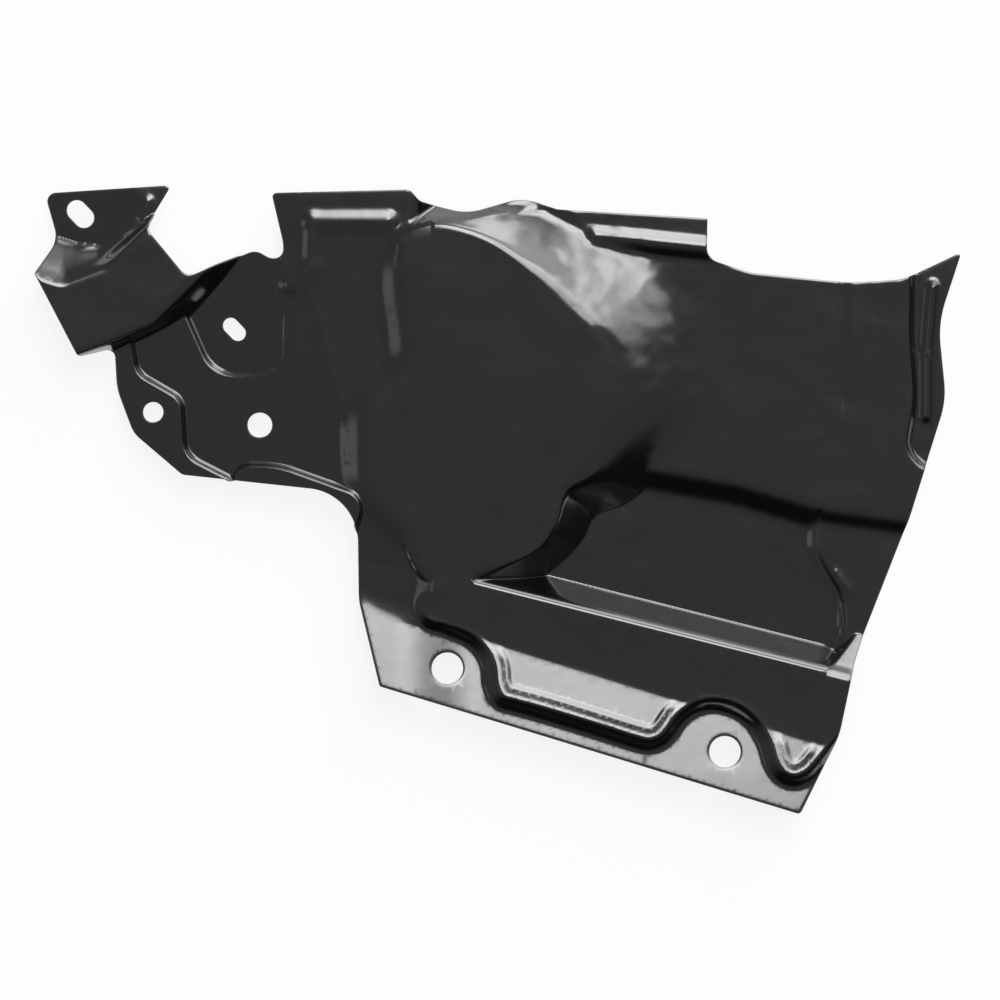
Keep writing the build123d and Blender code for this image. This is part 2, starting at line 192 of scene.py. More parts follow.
stripEnd = {"x": 147.6, "y": -72.0, "slant": 0.8, "run": 4.0, "less": 0.55}   # where the strip gets flatter

# the hem inside the step round the lower flange: a small step up, a flatter band, and a lip along the crest
hem = {
    "inset": 2.6, "width": 7.0, "step": 0.42, "stepRun": 1.7, "fall": 0.45,
    "lip": 0.34, "lipWidth": 1.0, "lipInset": 0.4, "fadeIn": 5.0,
}

creases = [   # shallow grooves and, with a depth below nought, low ridges: run, depth, width
    ([(158.5, 97.0), (159.0, 20.0)], -0.10, 2.2),
    ([(168.5, 97.0), (169.0, 12.0)], -0.07, 2.2),
    ([(179.5, 97.0), (179.0, 20.0)], -0.12, 2.8),
    ([(-88.7, 101.0), (-81.9, 85.5), (-76.5, 63.0), (-71.0, 40.5), (-68.4, 18.0)], -0.16, 1.6),
    ([(-91.5, 140.0), (-90.5, 112.0)], -0.10, 1.6),
    ([(-99.6, 93.5), (-98.6, 84.0)], -0.22, 1.1),
    ([(-94.5, 87.0), (-92.0, 66.0)], -0.16, 1.4),
    ([(144.0, -5.5), (142.9, -12.0), (142.7, -18.5), (143.5, -24.4), (145.8, -30.0), (149.4, -36.0),
      (152.6, -41.5), (154.6, -47.5), (155.2, -54.0), (154.4, -61.0), (152.0, -66.5), (147.6, -72.0)],
     0.75, 0.8),
    ([(151.5, -33.0), (157.5, -40.5)], -0.42, 2.1),
    ([(-160.8, 126.5), (-158.6, 134.0)], -0.75, 2.8),
    ([(-32.0, 126.8), (-14.0, 126.6), (4.0, 129.0), (18.0, 133.0)], -0.45, 2.2),
]

scores = [   # short steps down to the left of the run, which even out further on: start, end, fall
    ((-45.5, -28.9), (-61.5, -25.6), 0.25), ((-100.0, 58.6), (-112.0, 58.0), 0.25),
    ((153.2, 99.0), (153.4, 46.0), 0.40),
]

wrinkles = {   # small waves on the bulge's flank
    "seed": 7, "reaches": (1.6, 3.4), "height": 0.024, "broadShare": 2.0,
    "run": 8.0, "atRim": 0.3, "fromFoot": 4.0,
}

tabForm = {   # slopes of the tab's flange and crest along X, and the slanted line where they meet
    "flangeSlope": 0.08, "flangeEnd": -205.0, "crestSlope": 0.06, "crestEnd": -207.0,
    "meetY": 104.0, "meetX": -180.0, "meetSlope": 0.4, "meetRun": 12.0, "crestRun": 12.0,
}

scoreForm = {"run": 0.8, "reach": 5.0}

edgeRoll = {"reach": 1.2, "fall": 0.16}   # the trimmed edge turned down by the shears

mesh = {
    "spacings": (4.8, 2.4, 1.2, 0.6),      # triangle sizes on the painted skin, from flat to tightly bent
    "backSpacings": (4.8, 2.4, 1.2),
    "bendLimit": 0.024,
    "edgeStep": 0.9,
    "edgeRows": (0.4, 0.9),
    "edgeRound": 0.3,
    "leastGap": 0.3,
    "frontClear": 0.35,
    "backClear": 0.5,
    "holeCuts": 48,
}


def roundedLoop(corners, step):
    # Corner points with radii made a closed line: each corner is an arc that touches both its sides.
    spots = np.array([(x, y) for x, y, _ in corners])
    loop = []
    for i, (x, y, radius) in enumerate(corners):
        here = spots[i]
        before = here - spots[i - 1]
        after = spots[(i + 1) % len(spots)] - here
        before, after = before / hypot(*before), after / hypot(*after)
        turn = atan2(before[0] * after[1] - before[1] * after[0], before @ after)
        reach = radius * tan(abs(turn) / 2)
        count = max(2, int(abs(turn) * radius / step) + 2)
        side = 1.0 if turn > 0 else -1.0
        centre = here - before * reach + side * radius * np.array([-before[1], before[0]])
        start = atan2(-side * before[0], side * before[1])
        angles = start + np.linspace(0.0, turn, count)
        loop.append(np.stack([centre[0] + radius * np.cos(angles), centre[1] + radius * np.sin(angles)], 1))
    return np.concatenate(loop)


def smoothLoop(spots, cuts):
    # A closed line through its points: a Catmull-Rom curve, with each span cut into equal shares.
    p = np.array(spots, float)
    before, after, beyond = np.roll(p, 1, 0), np.roll(p, -1, 0), np.roll(p, -2, 0)
    t = np.linspace(0.0, 1.0, cuts, endpoint=False)[None, :, None]
    b, p, a, y = before[:, None], p[:, None], after[:, None], beyond[:, None]
    square, cube = 2 * b - 5 * p + 4 * a - y, 3 * p - b - 3 * a + y
    curve = 0.5 * (2 * p + (a - b) * t + square * t ** 2 + cube * t ** 3)
    return curve.reshape(-1, 2)


def signedDistance(x, y, loop, reach=40.0):
    # The distance to a closed line, negative inside: the least distance to its sides, signed by crossings
    # counted. Points further than reach from the line's box only get that reach.
    near = (x > loop[:, 0].min() - reach) & (x < loop[:, 0].max() + reach)
    near &= (y > loop[:, 1].min() - reach) & (y < loop[:, 1].max() + reach)
    result = np.full(x.shape, reach)
    x, y = x[near].astype(np.float32), y[near].astype(np.float32)
    best = np.full(x.shape, 1e9, np.float32)
    inside = np.zeros(x.shape, bool)
    for (x0, y0), (x1, y1) in zip(loop.tolist(), np.roll(loop, -1, 0).tolist()):
        dx, dy = x1 - x0, y1 - y0
        length = dx * dx + dy * dy
        if length < 1e-9:
            continue
        ax, ay = x - x0, y - y0
        share = np.clip((ax * dx + ay * dy) / length, 0.0, 1.0)
        ax -= share * dx
        ay -= share * dy
        best = np.minimum(best, ax * ax + ay * ay)
        if dy:
            inside ^= ((y0 > y) != (y1 > y)) & (x < x0 + (y - y0) * (dx / dy))
    result[near] = np.where(inside, -1.0, 1.0) * np.sqrt(best)
    return result


def capsuleDistance(x, y, start, end):
    # Distance to a straight piece of line between two points.
    dx, dy = end[0] - start[0], end[1] - start[1]
    share = np.clip(((x - start[0]) * dx + (y - start[1]) * dy) / (dx * dx + dy * dy), 0.0, 1.0)
    return np.hypot(x - start[0] - share * dx, y - start[1] - share * dy)


def lineDistance(x, y, line):
    # Distance of plan points to the left of a line's run.
    (x1, y1), (x2, y2) = line[:2]
    run = hypot(x2 - x1, y2 - y1)
    return ((y - y1) * (x2 - x1) - (x - x1) * (y2 - y1)) / run


def fallFrom(x, y, line, level):
    # The plane through a line at one level, which falls by the line's slope to the left of its run.
    return level - lineDistance(x, y, line) * tan(radians(line[2]))


def lower(a, b, blend):
    # The lower of two heights, less a square share where they are nearer than twice the blend.
    near = np.clip(2.0 * blend - np.abs(a - b), 0.0, None)
    return np.minimum(a, b) - near ** 2 / (8.0 * blend + 1e-6)


def higher(a, b, blend):
    # The higher of two heights, plus a square share where they are nearer than twice the blend.
    near = np.clip(2.0 * blend - np.abs(a - b), 0.0, None)
    return np.maximum(a, b) + near ** 2 / (8.0 * blend + 1e-6)


def smooth(share):
    # A share with level ends: three squares less two cubes.
    return share * share * (3.0 - 2.0 * share)


def faded(value, fade):
    # From nought to one over a run that starts at a place; a run below nought goes the other way.
    start, run = fade
    return np.clip((value - start) / run, 0.0, 1.0)


def blurred(heights, reach):
    # A Gaussian mean of a grid of heights, as a product in the frequency domain.
    rows, columns = heights.shape
    step = plan["gridStep"]
    fy = np.fft.fftfreq(rows, step)[:, None]
    fx = np.fft.rfftfreq(columns, step)[None, :]
    keep = np.exp(-2.0 * (pi * reach) ** 2 * (fx ** 2 + fy ** 2))
    return np.fft.irfft2(np.fft.rfft2(heights) * keep, s=heights.shape)


def drawnForm():
    # The painted skin's height on a plan grid: plates, walls and beads joined by higher and lower.
    step = plan["gridStep"]
    halfX, halfY = plan["halfSpan"]
    xs = np.arange(-halfX, halfX + step / 2, step)
    ys = np.arange(-halfY, halfY + step / 2, step)
    x, y = np.meshgrid(xs, ys)

    def away(name):
        return signedDistance(x, y, roundedLoop(areas[name], plan["arcStep"]))

    def along(run):
        return np.minimum.reduce([capsuleDistance(x, y, *ends) for ends in zip(run[:-1], run[1:])])

    def ridge(name, level):
        crown = np.full(x.shape, lv["nowhere"])
        for start, end, width, lean in beads[name]:
            aside = capsuleDistance(x, y, start, end) - width / 2
            crown = higher(crown, level - aside / tan(radians(lean)), blends["beadSides"])
        return lower(crown, level, blends["beadTop"])

    def plateau(name, blend):
        return lower(lv[name], lv[name] - away(name) / tan(radians(leans["plate"])), blend)

    lv = levels
    floor = np.full(x.shape, lv["pocket"])
    sill = plateau("sill", blends["sill"])
    steep = (x > 178.0) & (y > 0.0)   # the wall along the right edge
    rightLean = np.where(steep, 1.0 / tan(radians(leans["rightEdge"])), 1.0 / tan(radians(leans["plate"])))
    rightBlend = np.where(steep, blends["rightEdge"], blends["plate"])
    right = lower(lv["right"], lv["right"] - away("right") * rightLean, rightBlend)
    edgeBead = ridge("edge", lv["edge"] + lv["beadStep"])
    upperBead = ridge("upper", lv["upper"] + lv["lowBead"])
    edge = higher(plateau("edge", blends["plate"]), edgeBead, blends["edgeBead"])
    upper = higher(plateau("upper", blends["plate"]), upperBead, blends["lowBead"])
    edgeBlend = blends["edge"] * (1.0 + faded(y, fades["edgeBlend"]))
    right = higher(higher(right, edge, edgeBlend), upper, blends["upper"])
    height = higher(higher(floor, sill, blends["sill"]), right, blends["plate"])

    # the middle plate and the left one, with the sunk pad and the raised edges
    fall = fallFrom(x, y, lines["soft"], lv["middle"])
    leftPlate = lower(lv["middle"], fall, blends["soft"])
    depth = lv["padDepth"] * np.clip((-98.0 - x) / 26.0, 0.12, 1.0)   # the pad is deeper to the left
    padWall = fall - depth / 2 + away("pad") / tan(radians(leans["pad"]))
    padFloor = higher(fall - depth, padWall, blends["padFoot"])
    leftPlate = lower(leftPlate, padFloor, blends["padTop"])
    for name in ("rim", "band"):
        raisedWall = fall + lv["rimStep"] / 2 - away(name) / tan(radians(leans["raised"]))
        edge = lower(fall + lv["rimStep"], raisedWall, blends["raisedTop"])
        leftPlate = higher(leftPlate, lower(edge, lv["face"], blends["underFace"]), blends["raisedFoot"])
    bead = lower(ridge("left", lv["middle"] + lv["lowBead"]), fall + lv["lowBead"], blends["leftBead"])
    leftPlate = higher(leftPlate, bead, blends["lowBead"])
    leftEnd = lv["middle"] + lv["beadStep"] - 0.9 * (away("left") + 6.0)   # it sinks under the face
    leftPlate = lower(leftPlate, leftEnd, blends["leftEnd"])
    height = np.maximum(height, leftPlate)

    # the lower flange
    flangeLevel = lv["face"] - lv["flangeStep"] + lv["flangeRise"] * smooth(faded(x, fades["flangeRise"]))
    flange = np.where(away("flange") < 0, fallFrom(x, y, lines["flange"], flangeLevel), lv["nowhere"])
    height = higher(height, flange, blends["flange"])

    # the face and the bulge: their flanks go on rising, and one top cuts both off
    toEdge = signedDistance(x, y, smoothLoop(faceEdge, 5))
    beyond = lineDistance(x, y, lines["flange"])
    tilt = np.where(beyond < 20, fallFrom(x, y, lines["flange"], lv["face"]), 0.0)
    plate = higher(lv["face"], tilt, blends["plateTilt"])
    inside = hem["inset"] + hem["width"] + toEdge
    hemTop = hem["step"] * smooth(np.clip(inside / hem["stepRun"], 0.0, 1.0))
    hemTop = hemTop - hem["fall"] * np.clip(inside / hem["width"], 0.0, 1.0)
    hemTop = hemTop * np.clip(-beyond / hem["fadeIn"], 0.0, 1.0)
    lip = hem["lip"] * np.exp(-((-toEdge - hem["inset"] - hem["lipInset"]) / hem["lipWidth"]) ** 2)
    low = faded(y, fades["lowerFlange"])   # one along the lower flange, nought above it
    top = plate + (hemTop + lip) * low * (x < 160.0)
    skirt = plate - lv["flangeStep"] / 2 - toEdge * (steps["slope"] + steps["lowSlope"] * low)
    pastEnd = x - stripEnd["x"] - stripEnd["slant"] * (y - stripEnd["y"])
    flatter = 1.0 - stripEnd["less"] * smooth(np.clip(pastEnd / stripEnd["run"], 0.0, 1.0))
    strip = lv["face"] + (fallFrom(x, y, lines["strip"], lv["face"]) - lv["face"]) * flatter
    skirt = np.where(away("pocketSpace") < 0, lower(skirt, strip, blends["strip"]), skirt)
    toFoot = signedDistance(x, y, smoothLoop(bulge["foot"], 8))
    toRim = signedDistance(x, y, smoothLoop(bulge["rim"], 8))
    share = np.clip(-toFoot, 0, None) / (np.clip(-toFoot, 0, None) + np.clip(toRim, 0, None) + 1e-6)
    share = np.where(toFoot > 0, -toFoot / bulge["footRun"], share)
    share = np.where(toRim < 0, 1.0 - toRim / bulge["rimRun"], share)
    dome = lv["pocket"] + (lv["face"] - lv["pocket"]) * share
    nearStrip = np.exp(-(lineDistance(x, y, lines["strip"]) / bends["stripReach"]) ** 2) * (x > -12.0)
    softRim = faded(x, fades["softRimX"]) * faded(y, fades["softRimY"]) * (y > -34.0)
    bendTop = bends["top"] + bends["topStrip"] * nearStrip + bends["topRight"] * softRim
    bendTop = bendTop + bends["topLeft"] * (1.0 - low) * (x < -30.0)
    raised = lower(higher(skirt, dome, blends["dome"]), top, bendTop)
    settled = (np.minimum(toEdge, toRim) + steps["settleFrom"]) / steps["settleRun"]
    settled = np.clip(settled, steps["leastBlend"], 1.0)   # far inside, nothing below shows in the face
    bendFoot = bends["foot"] + bends["footStrip"] * nearStrip + bends["footLow"] * low
    height = higher(height, raised, bendFoot * settled)
    belowRim = np.clip(toRim / wrinkles["run"] + wrinkles["atRim"], 0.0, 1.0)
    overFoot = np.clip(-(toFoot + wrinkles["fromFoot"]) / wrinkles["run"], 0.0, 1.0)
    flank = belowRim * overFoot * (x > -40.0)
    noise = np.random.default_rng(wrinkles["seed"]).normal(size=x.shape)
    fine, broad = [blurred(noise, reach) for reach in wrinkles["reaches"]]
    waves = fine / fine.std() + wrinkles["broadShare"] * broad / broad.std()
    height = height + flank * wrinkles["height"] * waves

    # the tab: a crest over the left plate, and a lower flange with a slot
    toFoot, toCrest = away("crestFoot"), away("crest")
    share = np.clip(-toFoot, 0, None) / (np.clip(-toFoot, 0, None) + np.clip(toCrest, 0, None) + 1e-6)
    turned = lineDistance(x, y, lines["lip"])
    flangeTop = lv["tab"] + tabForm["flangeSlope"] * (x - tabForm["flangeEnd"])
    flangeTop = flangeTop + lower(0.0, turned, blends["lip"]) * tan(radians(lines["lip"][2]))
    crestTop = lv["crest"] - tabForm["crestSlope"] * (x - tabForm["crestEnd"])
    onFlange = y - tabForm["meetY"] - tabForm["meetSlope"] * (x - tabForm["meetX"])
    onFlange = np.clip(onFlange / tabForm["meetRun"], 0.0, 1.0)
    base = lv["tabFoot"] + (flangeTop - lv["tabFoot"]) * onFlange
    share = np.where(toCrest < 0, 1 - toCrest / tabForm["crestRun"], share)
    crest = lower(base + (crestTop - base) * share, crestTop, blends["tab"])
    crest = np.where(toFoot > 0, lv["nowhere"], crest)
    tab = np.where(away("tab") < 0, flangeTop, lv["nowhere"])
    height = np.maximum(height, higher(crest, tab, blends["tab"]))

    # creases in the sheet, and the edges turned down where it was sheared
    for run, depth, width in creases:
        height = height - depth * np.exp(-(along(run) / width) ** 2)
    for start, end, fall in scores:
        side = smooth(np.clip(lineDistance(x, y, (start, end)) / scoreForm["run"] + 0.5, 0.0, 1.0))
        aside = capsuleDistance(x, y, start, end) / scoreForm["reach"]
        height = height - fall * side * np.exp(-aside ** 2)
    toTrim = -signedDistance(x, y, roundedLoop(trim["outline"], plan["trimArcStep"]))
    for holeX, holeY, diameter in trim["boltHoles"]:
        toTrim = np.minimum(toTrim, np.hypot(x - holeX, y - holeY) - diameter / 2)
    rolled = np.clip(1.0 - toTrim / edgeRoll["reach"], 0.0, 2.0)
    height = height - edgeRoll["fall"] * rolled ** 2

    return xs, ys, blurred(height, plan["blur"])


def sampled(grid, x, y):
    # A grid read between its nodes: four by four nodes weighted by cubic B-spline shares, with the slopes.
    xs, ys, values = grid
    step = plan["gridStep"]
    u, v = (x - xs[0]) / step, (y - ys[0]) / step
    i, j = np.floor(u).astype(int), np.floor(v).astype(int)
    i, j = np.clip(i, 1, len(xs) - 3), np.clip(j, 1, len(ys) - 3)
    u, v = u - i, v - j

    def shares(t):
        inner, outer = (3 * t ** 3 - 6 * t * t + 4) / 6, (-3 * t ** 3 + 3 * t * t + 3 * t + 1) / 6
        return [(1 - t) ** 3 / 6, inner, outer, t ** 3 / 6]

    def slopes(t):
        return [-(1 - t) ** 2 / 2, (3 * t * t - 4 * t) / 2, (-3 * t * t + 2 * t + 1) / 2, t * t / 2]

    su, sv, du, dv = shares(u), shares(v), slopes(u), slopes(v)
    z, zx, zy = 0.0, 0.0, 0.0
    for a in range(4):
        for b in range(4):
            node = values[j + b - 1, i + a - 1]
            z = z + node * su[a] * sv[b]
            zx = zx + node * du[a] * sv[b]
            zy = zy + node * su[a] * dv[b]
    return z, zx / step, zy / step


def evenLoop(loop, step):
    # A closed line cut again into equal steps along its own length, keeping its corners where it can.
    closed = np.concatenate([loop, loop[:1]])
    lengths = np.linalg.norm(np.diff(closed, axis=0), axis=1)
    pieces = np.maximum(1, np.round(lengths / step).astype(int))
    parts = [closed[i] + (closed[i + 1] - closed[i]) * np.arange(n)[:, None] / n
             for i, n in enumerate(pieces) if lengths[i] > 0.05]
    return np.concatenate(parts)


def trimLoops():
    # The outline, and each hole as a circle or as two half circles apart.
    loops = [evenLoop(roundedLoop(trim["outline"], plan["trimArcStep"]), mesh["edgeStep"])]
    for x, y, diameter in trim["boltHoles"]:
        angles = np.linspace(0, 2 * pi, mesh["holeCuts"], endpoint=False)
        loops.append(np.stack([x + diameter / 2 * np.cos(angles), y + diameter / 2 * np.sin(angles)], 1))
    turn = radians(trim["slotTurn"])
    for x, y, width, apart in trim["slots"]:
        angles = np.linspace(-pi / 2, pi / 2, 20)
        outward, across = apart / 2 + width / 2 * np.cos(angles), width / 2 * np.sin(angles)
        along, across = np.concatenate([outward, -outward]), np.concatenate([across, -across])
        loopX = x + along * cos(turn) - across * sin(turn)
        loopY = y + along * sin(turn) + across * cos(turn)
        loops.append(evenLoop(np.stack([loopX, loopY], 1), mesh["edgeStep"]))
    return loops


def unit(vectors):
    # Vectors over their own lengths.
    return vectors / np.linalg.norm(vectors, axis=1)[:, None]


def turnsLeft(loop):
    # Whether a closed line runs anticlockwise: the sum of its sides' cross products is above nought.
    return np.sum(loop[:, 0] * np.roll(loop[:, 1], -1) - np.roll(loop[:, 0], -1) * loop[:, 1]) > 0


def inward(loop, distance, hole):
    # A closed line moved into the sheet, each point along the mean of its two sides' normals.
    before, after = loop - np.roll(loop, 1, 0), np.roll(loop, -1, 0) - loop
    along = unit(unit(before) + unit(after))
    left = np.stack([-along[:, 1], along[:, 0]], 1) * (1.0 if turnsLeft(loop) else -1.0)
    return loop + left * (distance if not hole else -distance)


def thinned(points, gap):
    # One point kept of those that round to the same multiple of the gap.
    return points[np.unique(np.round(points / gap).astype(int), axis=0, return_index=True)[1]]


def scatter(grid, loops, spacings, clear):
    # Plan points inside the trim, on nested triangular grids: a finer grid only where the form bends more.
    xs, ys, values = grid
    chosen = []
    for level, spacing in enumerate(spacings):
        halfX, halfY = plan["halfSpan"]
        rowHeight = spacing * 0.8660254
        columns = np.arange(-int(halfX / spacing), int(halfX / spacing) + 1)
        rows = np.arange(-int(halfY / rowHeight), int(halfY / rowHeight) + 1)
        c, r = np.meshgrid(columns, rows)
        px = ((c + 0.5 * (r % 2)) * spacing).ravel()
        py = (r * rowHeight).ravel()
        if level:
            z, zx, zy = sampled(grid, px, py)
            bend = np.zeros(px.shape)
            for dx, dy in ((1, 0), (0, 1), (0.7, 0.7), (0.7, -0.7)):
                za = sampled(grid, px + dx * spacing, py + dy * spacing)[0]
                zb = sampled(grid, px - dx * spacing, py - dy * spacing)[0]
                bend = np.maximum(bend, np.abs(za + zb - 2 * z))
            keep = bend > mesh["bendLimit"] * (1.0 if level < 2 else 1.5)
            px, py = px[keep], py[keep]
        chosen.append(np.stack([px, py], 1))
    points = np.concatenate(chosen)
    points = thinned(points, mesh["leastGap"] / 2)

    def toTrim(spots):
        nearest = -signedDistance(spots[:, 0], spots[:, 1], loops[0])
        for loop in loops[1:]:
            nearest = np.minimum(nearest, signedDistance(spots[:, 0], spots[:, 1], loop))
        return nearest

    kept = [points[toTrim(points) > clear]]
    for inset in mesh["edgeRows"]:
        row = np.concatenate([inward(loop, inset, i > 0) for i, loop in enumerate(loops)])
        kept.append(row[toTrim(row) > 0.9 * inset])
    return thinned(np.concatenate(kept), mesh["leastGap"])


def skinned(loops, points):
    # The plan between the trim's loops as triangles, by constrained Delaunay triangulation.
    spots = np.concatenate(loops + [points])
    edges, start = [], 0
    for loop in loops:
        run = np.arange(start, start + len(loop))
        edges += np.stack([run, np.roll(run, -1)], 1).tolist()
        start += len(loop)
    places = [Vector(p) for p in spots.tolist()]
    corners, _, faces, _, _, _ = delaunay_2d_cdt(places, edges, [], 0, 1e-5)
    triangles = np.array(faces)
    middle = spots[triangles].mean(1)
    inside = signedDistance(middle[:, 0], middle[:, 1], loops[0]) < 0
    for loop in loops[1:]:
        inside &= signedDistance(middle[:, 0], middle[:, 1], loop) > 0
    assert len(corners) == len(spots), "the triangulation moved or merged a point"
    return spots, triangles[inside]


def pressedSheet():
    # The whole sheet: a painted skin, an edge of four bands, and a back one sheet in along the normal.
    grid = drawnForm()
    print("form worked out", grid[2].shape)
    trimmed = trimLoops()
    thick, rounding = levels["sheet"], mesh["edgeRound"]
    top = [inward(loop, rounding, i > 0) for i, loop in enumerate(trimmed)]
    frontSpots, frontFaces = skinned(top, scatter(grid, top, mesh["spacings"], mesh["frontClear"]))
    backSpots, backFaces = skinned(top, scatter(grid, top, mesh["backSpacings"], mesh["backClear"]))

    def placed(spots, depth):
        z, zx, zy = sampled(grid, spots[:, 0], spots[:, 1])
        size = np.sqrt(1 + zx * zx + zy * zy)
        normal = np.stack([-zx / size, -zy / size, 1 / size], 1)
        point = np.stack([spots[:, 0], spots[:, 1], z], 1)
        return point - depth * normal, normal

    front, frontNormals = placed(frontSpots, 0.0)
    back, backNormals = placed(backSpots, thick)
    vertices, faces, normals = [front], [frontFaces], [frontNormals]
    offset = len(front)
    count = sum(len(loop) for loop in trimmed)
    rings = [np.arange(count)]
    eighth = rounding * 0.29   # how far an arc's middle lies from its corner's two sides
    bands = (   # inset, depth, and the share of the skin's normal in the edge's normal
        (eighth, eighth, 0.7), (0.0, rounding, 0.0),
        (0.0, thick - rounding, 0.0), (eighth, thick - eighth, -0.7),
    )
    outward = np.concatenate([(loop - inward(loop, 1.0, i > 0)) for i, loop in enumerate(trimmed)])
    for inset, depth, share in bands:
        spots = np.concatenate([inward(loop, inset, i > 0) for i, loop in enumerate(trimmed)])
        base = np.concatenate(top)
        point, normal = placed(base, depth)
        point[:, :2] += spots - base
        z, zx, zy = sampled(grid, base[:, 0], base[:, 1])
        point[:, 2] += zx * (spots - base)[:, 0] + zy * (spots - base)[:, 1]
        vertices.append(point)
        rings.append(np.arange(offset, offset + count))
        side = unit(np.concatenate([outward, np.zeros((count, 1))], 1))
        normals.append(unit(side * (1 - abs(share)) + normal * share))
        offset += count
    vertices.append(back)
    normals.append(-backNormals)
    rings.append(np.arange(offset, offset + count))
    faces.append(backFaces[:, ::-1] + offset)

    # the bands between the rings, one closed strip for each loop
    starts = np.cumsum([0] + [len(loop) for loop in trimmed])
    for upper, under in zip(rings[:-1], rings[1:]):
        for k, loop in enumerate(trimmed):
            a = upper[starts[k]:starts[k + 1]]
            b = under[starts[k]:starts[k + 1]]
            a2, b2 = np.roll(a, -1), np.roll(b, -1)
            strip = np.concatenate([np.stack([a, b, a2], 1), np.stack([a2, b, b2], 1)])
            if turnsLeft(loop) == (k > 0):
                strip = strip[:, ::-1]
            faces.append(strip)
    vertices = np.concatenate(vertices)
    faces = np.concatenate(faces)
    normals = np.concatenate(normals)
    vertices[:, 0] += plan["shift"][0]
    vertices[:, 1] += plan["shift"][1]
    return vertices * mm, faces, normals


def meshObject(name, vertices, faces, normals=None):
    # Arrays put into a new mesh object, smooth, with the worked-out normals where they are given.
    data = bpy.data.meshes.new(name)
    data.vertices.add(len(vertices))
    data.vertices.foreach_set("co", vertices.astype(np.float32).ravel())
    data.loops.add(faces.size)
    data.loops.foreach_set("vertex_index", faces.astype(np.int32).ravel())
    data.polygons.add(len(faces))
    data.polygons.foreach_set("loop_start", np.arange(0, faces.size, faces.shape[1], dtype=np.int32))
    data.polygons.foreach_set("use_smooth", np.ones(len(faces), bool))
    data.update(calc_edges=True)
    data.validate()
    if normals is not None:
        data.normals_split_custom_set_from_vertices(normals.tolist())
    thing = bpy.data.objects.new(name, data)
    bpy.context.scene.collection.objects.link(thing)
    return thing


class Value:
    # A socket that takes Python's own operators, each of which adds one Math node.

    def __init__(self, tree, socket):
        self.tree, self.socket = tree, socket

    def node(self, kind, settings=None, **sockets):
        made = self.tree.nodes.new(kind)
        for key, setting in (settings or {}).items():
            setattr(made, key, setting)
        for key, value in sockets.items():
            numbered = key[0] == "i" and key[1:].isdigit()
            socket = made.inputs[int(key[1:])] if numbered else made.inputs[key.replace("_", " ")]
            if isinstance(value, Value):
                self.tree.links.new(value.socket, socket)
            else:
                socket.default_value = value
        return made

    def maths(self, operation, a, b=0.0):
        made = self.node("ShaderNodeMath", {"operation": operation}, i0=a, i1=b)
        return Value(self.tree, made.outputs[0])

    def __add__(self, other):
        return self.maths("ADD", self, other)

    def __radd__(self, other):
        return self.maths("ADD", other, self)

    def __sub__(self, other):
        return self.maths("SUBTRACT", self, other)

    def __rsub__(self, other):
        return self.maths("SUBTRACT", other, self)

    def __mul__(self, other):
        return self.maths("MULTIPLY", self, other)

    def __rmul__(self, other):
        return self.maths("MULTIPLY", other, self)

    def __truediv__(self, other):
        return self.maths("DIVIDE", self, other)

    def __pow__(self, other):
        return self.maths("POWER", self, other)


def thinPaint(cover):
    # The share of thin paint at each vertex: one on the trimmed edges, fading within a millimetre of them.
    spots = np.empty(len(cover.data.vertices) * 3, np.float32)
    cover.data.vertices.foreach_get("co", spots)
    x, y = spots[0::3] / mm - plan["shift"][0], spots[1::3] / mm - plan["shift"][1]
    toTrim = np.minimum.reduce([np.abs(signedDistance(x, y, loop)) for loop in trimLoops()])
    share = cover.data.attributes.new("thin_paint", "FLOAT", "POINT")
    share.data.foreach_set("value", np.exp(-toTrim / paint["thinReach"]).astype(np.float32))


paint = {
    "colour": (0.004, 0.004, 0.0045, 1.0),
    "thinColour": (0.030, 0.029, 0.028, 1.0),   # where the paint has drawn back from a sheared edge
    "thinReach": 0.35,
    "coatIor": 1.8,
    "roughness": 0.26,
    "specular": 0.35,
    "coat": 1.0,
    "coatRoughness": 0.10,
    "peelScale": 900.0,
    "peelHeight": 0.00002,
    "waveScale": 26.0,
    "waveHeight": 0.0010,
    "rippleScale": 80.0,
    "rippleHeight": 0.0004,
    "cloudScale": 60.0,
    "cloudRoughness": 0.10,
    "thinRoughness": 0.25,
    "thinPatches": 1.6,
}


